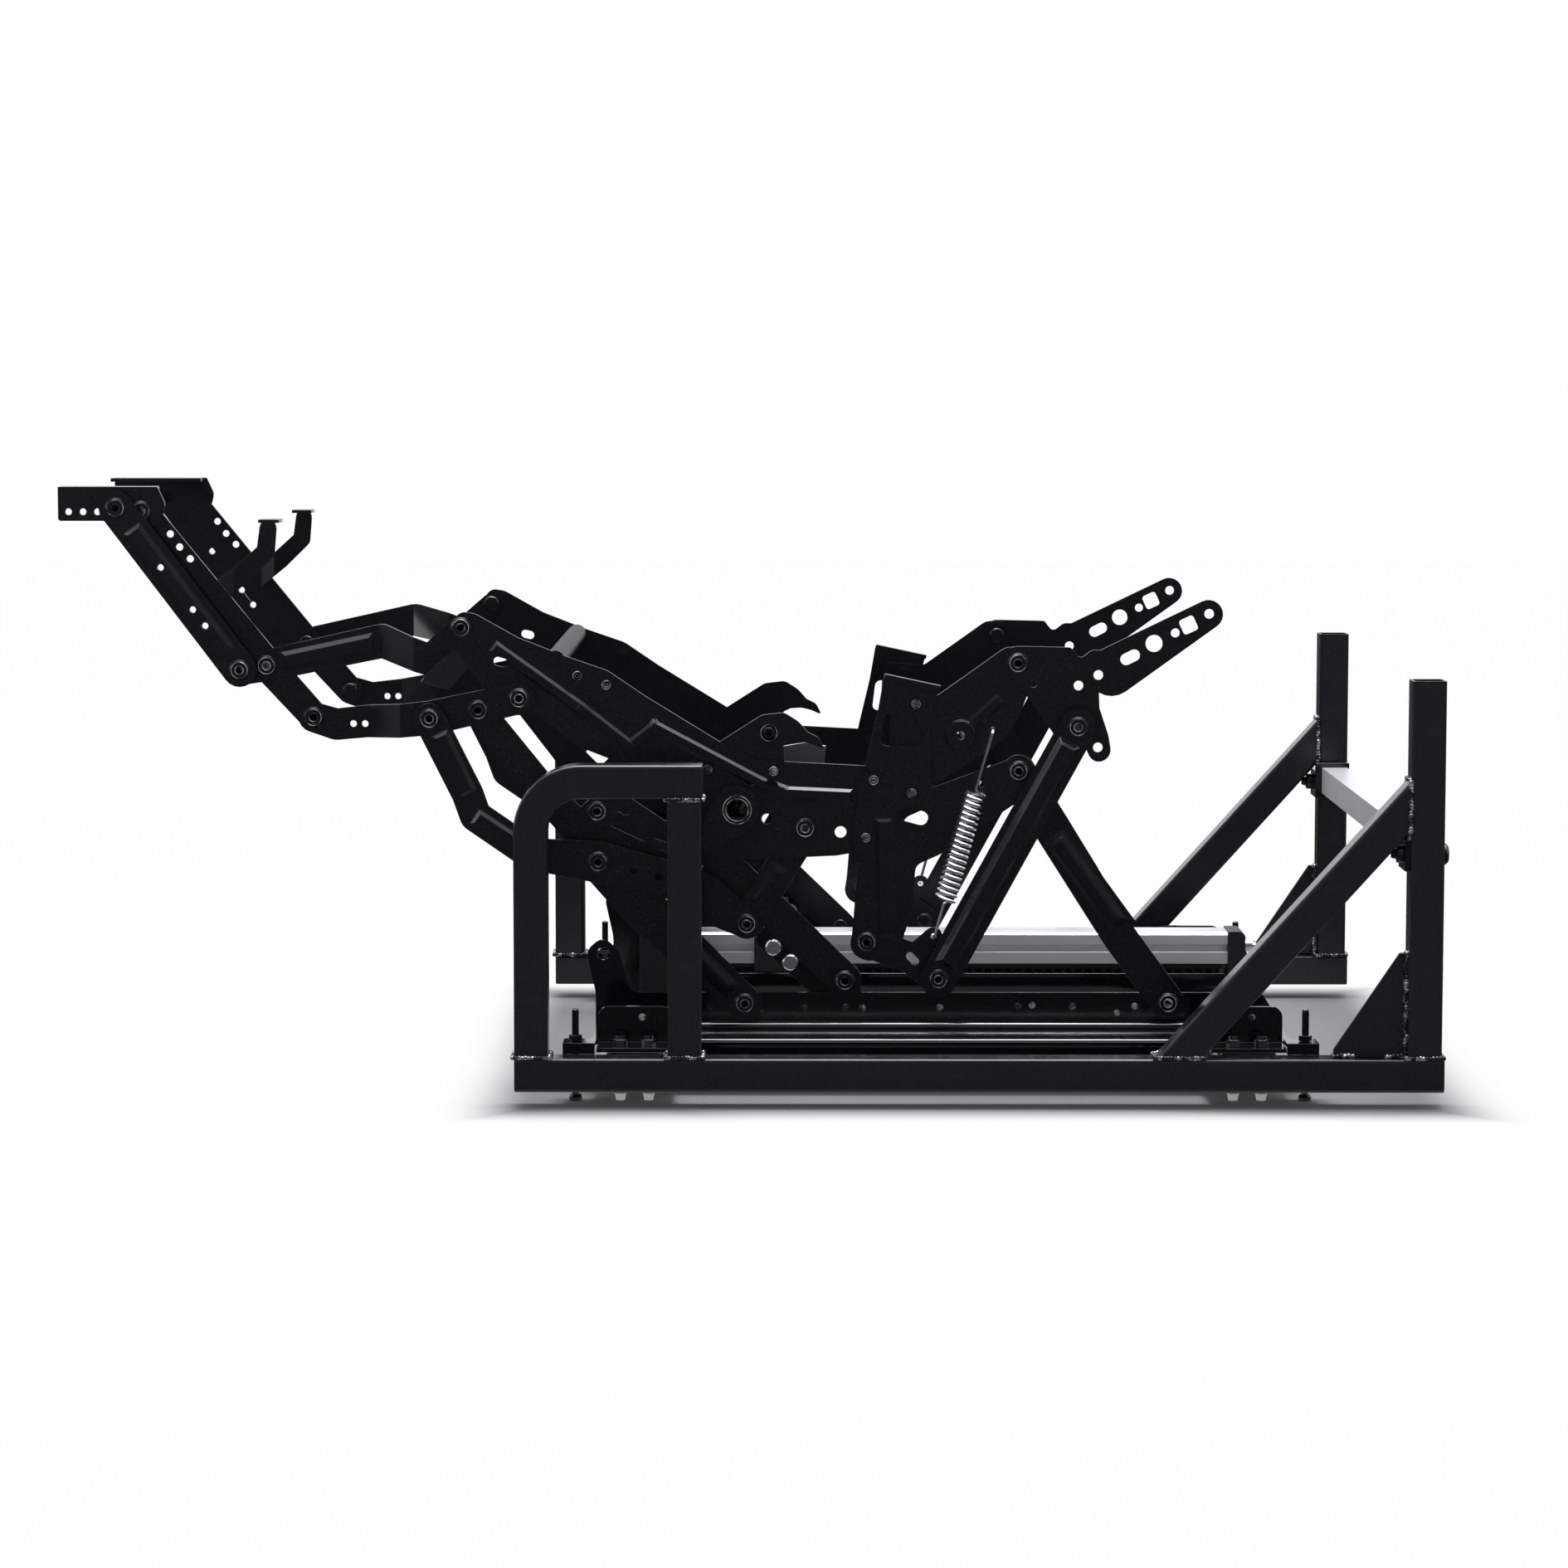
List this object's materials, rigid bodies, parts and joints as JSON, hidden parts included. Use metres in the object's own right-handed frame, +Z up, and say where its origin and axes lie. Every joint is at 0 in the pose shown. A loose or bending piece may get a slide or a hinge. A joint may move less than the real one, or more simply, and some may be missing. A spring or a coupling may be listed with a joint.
{
  "type": "recliner lift mechanism",
  "caption": "Powered recliner linkage on a welded tube frame: folding footrest links, swinging seat sides, tilting back brackets and a screw actuator.",
  "frame": {"origin": "on the floor, under the middle of the bounding box of the opened mechanism", "axes": "+X from the footrest to the back of the chair, +Y to the right side, +Z up"},
  "size_m": [1.0426, 0.6, 0.453],
  "materials": {
    "frame_paint": "satin black powder coat on tube, with welds",
    "link_paint": "semi-gloss black paint on pressed steel",
    "gloss_paint": "gloss black paint",
    "rivet_paint": "black painted rivet heads, worn at the rims",
    "zinc_plate": "bright zinc plate",
    "dull_zinc": "dull zinc plate",
    "alloy": "drawn and anodised aluminium",
    "black_plastic": "moulded black plastic",
    "motor_paint": "black painted steel can"
  },
  "bodies": {
    "base": {"left_side_rail": "frame_paint", "right_side_rail": "frame_paint", "left_front_hoop": "frame_paint", "right_front_hoop": "frame_paint", "left_hoop_post": "frame_paint", "right_hoop_post": "frame_paint", "left_rear_post": "frame_paint", "right_rear_post": "frame_paint", "left_rear_brace": "frame_paint", "right_rear_brace": "frame_paint", "rear_gussets": "frame_paint", "front_cross_member": "gloss_paint", "rear_cross_member": "gloss_paint", "mounting_plates": "gloss_paint", "levelling_feet": "gloss_paint", "chassis_bolts": "zinc_plate", "left_lift_rail": "gloss_paint", "right_lift_rail": "gloss_paint", "rail_rivets": "rivet_paint", "rear_cross_bar": "alloy", "cross_bar_brackets": "gloss_paint", "cross_bar_bolts": "rivet_paint", "actuator_rail": "alloy", "drive_rack": "black_plastic", "actuator_end_cap": "black_plastic", "actuator_saddle": "gloss_paint", "gearbox": "black_plastic", "drive_motor": "motor_paint"},
    "screw": {"drive_screw": "zinc_plate"},
    "carriage": {"drive_carriage": "black_plastic"},
    "push_link": {"push_link": "link_paint"},
    "swing": {"rear_swing_links": "link_paint"},
    "seat": {"seat_side_plates": "link_paint", "back_pivot_plates": "link_paint", "rear_hangers": "link_paint", "inner_brackets": "link_paint", "seat_cross_tubes": "link_paint", "seat_rivets": "rivet_paint"},
    "springs": {"return_springs": "zinc_plate"},
    "carrier": {"carrier_links": "link_paint"},
    "inner": {"inner_links": "link_paint", "footrest_hooks": "link_paint"},
    "footrest": {"footrest_brackets": "link_paint"},
    "outer": {"outer_links": "link_paint"},
    "lower": {"lower_carrier_links": "link_paint"},
    "control": {"control_links": "link_paint"},
    "drive": {"drive_links": "link_paint"},
    "rocker": {"rockers": "link_paint", "rocker_shaft": "link_paint", "shaft_sector": "dull_zinc"},
    "torque": {"torque_tube": "link_paint", "torque_levers": "link_paint"},
    "lever": {"lever_links": "link_paint"},
    "back": {"back_brackets": "link_paint"},
    "tie": {"back_tie_links": "link_paint"},
    "crank": {"back_cranks": "link_paint"},
    "control_strut": {"control_struts": "link_paint"},
    "base_strut": {"base_struts": "link_paint", "strut_plates": "gloss_paint", "strut_bolts": "zinc_plate"}
  },
  "joints": [
    {"name": "swing_lift", "type": "hinge", "parent": "base", "child": "swing", "pos_m": [0.32575, 0, 0.061], "axis": [0, 1, 0], "range_deg": [0, 16]},
    {"name": "seat_pivot", "type": "hinge", "parent": "swing", "child": "seat", "pos_m": [0.21075, 0, 0.239], "axis": [0, -1, 0], "range_deg": [0, 14.47]},
    {"name": "carrier_pivot", "type": "hinge", "parent": "seat", "child": "carrier", "pos_m": [-0.21225, 0, 0.3475], "axis": [0, -1, 0], "range_deg": [0, 65]},
    {"name": "inner_link_pivot", "type": "hinge", "parent": "carrier", "child": "inner", "pos_m": [-0.36325, 0, 0.3165], "axis": [0, 1, 0], "range_deg": [0, 89.58]},
    {"name": "footrest_pivot", "type": "hinge", "parent": "inner", "child": "footrest", "pos_m": [-0.45775, 0, 0.4345], "axis": [0, -1, 0], "range_deg": [0, 94.97]},
    {"name": "outer_link_pivot", "type": "hinge", "parent": "carrier", "child": "outer", "pos_m": [-0.38325, 0, 0.3135], "axis": [0, 1, 0], "range_deg": [0, 87.11]},
    {"name": "lower_carrier_pivot", "type": "hinge", "parent": "seat", "child": "lower", "pos_m": [-0.16825, 0, 0.294], "axis": [0, -1, 0], "range_deg": [0, 60.45]},
    {"name": "control_link_pivot", "type": "hinge", "parent": "lower", "child": "control", "pos_m": [-0.23575, 0, 0.279], "axis": [0, 1, 0], "range_deg": [0, 35.28]},
    {"name": "drive_link_pivot", "type": "hinge", "parent": "lower", "child": "drive", "pos_m": [-0.19925, 0, 0.285], "axis": [0, 1, 0], "range_deg": [0, 57.44]},
    {"name": "rocker_pivot", "type": "hinge", "parent": "seat", "child": "rocker", "pos_m": [0.04875, 0, 0.195], "axis": [0, -1, 0], "range_deg": [0, 22.73]},
    {"name": "torque_tube_turn", "type": "hinge", "parent": "seat", "child": "torque", "pos_m": [-0.00375, 0, 0.21], "axis": [0, -1, 0], "range_deg": [0, 56.48]},
    {"name": "lever_link_pivot", "type": "hinge", "parent": "torque", "child": "lever", "pos_m": [-0.02625, 0, 0.187], "axis": [0, 1, 0], "range_deg": [0, 50.27]},
    {"name": "control_strut_pivot", "type": "hinge", "parent": "base", "child": "control_strut", "pos_m": [0.00275, 0, 0.06], "axis": [0, 1, 0], "range_deg": [0, 53.59]},
    {"name": "base_strut_pivot", "type": "hinge", "parent": "base", "child": "base_strut", "pos_m": [0.07925, 0, 0.077], "axis": [0, 1, 0], "range_deg": [0, 18.36]},
    {"name": "carriage_slide", "type": "slide", "parent": "base", "child": "carriage", "axis": [1, 0, 0], "range_m": [0, 0.08818]},
    {"name": "push_link_pivot", "type": "hinge", "parent": "carriage", "child": "push_link", "pos_m": [0.02675, 0, 0.112], "axis": [0, 1, 0], "range_deg": [0, 30.65]},
    {"name": "screw_turn", "type": "hinge", "parent": "base", "child": "screw", "pos_m": [-0.03425, 0, 0.0825], "axis": [1, 0, 0], "range_deg": [0, 2646]},
    {"name": "back_tilt", "type": "hinge", "parent": "seat", "child": "back", "pos_m": [0.20975, 0, 0.321], "axis": [0, -1, 0], "range_deg": [0, 40]},
    {"name": "back_tie_pivot", "type": "hinge", "parent": "back", "child": "tie", "pos_m": [0.25525, 0, 0.273], "axis": [0, 1, 0], "range_deg": [0, 45.76]},
    {"name": "back_crank_pivot", "type": "hinge", "parent": "seat", "child": "crank", "pos_m": [0.09575, 0, 0.108], "axis": [0, -1, 0], "range_deg": [0, 50.42], "deforming": ["return_springs"]},
    {"name": "spring_pivot", "type": "hinge", "parent": "seat", "child": "springs", "pos_m": [0.19075, 0, 0.271], "axis": [0, 1, 0], "range_deg": [0, 12.96]}
  ],
  "couplings": [
    {"joint": "seat_pivot", "follows": "swing_lift", "ratio": 0.90458},
    {"joint": "carrier_pivot", "follows": "swing_lift", "ratio": 4.0625},
    {"joint": "inner_link_pivot", "follows": "swing_lift", "ratio": 5.5987},
    {"joint": "footrest_pivot", "follows": "swing_lift", "ratio": 5.9359},
    {"joint": "outer_link_pivot", "follows": "swing_lift", "ratio": 5.4442},
    {"joint": "lower_carrier_pivot", "follows": "swing_lift", "ratio": 3.7783},
    {"joint": "control_link_pivot", "follows": "swing_lift", "ratio": 2.2048},
    {"joint": "drive_link_pivot", "follows": "swing_lift", "ratio": 3.59},
    {"joint": "rocker_pivot", "follows": "swing_lift", "ratio": 1.4205},
    {"joint": "torque_tube_turn", "follows": "swing_lift", "ratio": 3.5301},
    {"joint": "lever_link_pivot", "follows": "swing_lift", "ratio": 3.1416},
    {"joint": "control_strut_pivot", "follows": "swing_lift", "ratio": 3.3494},
    {"joint": "base_strut_pivot", "follows": "swing_lift", "ratio": 1.1473},
    {"joint": "carriage_slide", "follows": "swing_lift", "m_per_rad": 0.31576},
    {"joint": "push_link_pivot", "follows": "swing_lift", "ratio": 1.9158},
    {"joint": "screw_turn", "follows": "swing_lift", "ratio": 165.33},
    {"joint": "back_tie_pivot", "follows": "back_tilt", "ratio": 1.144},
    {"joint": "back_crank_pivot", "follows": "back_tilt", "ratio": 1.2606},
    {"joint": "spring_pivot", "follows": "back_tilt", "ratio": 0.32411}
  ]
}
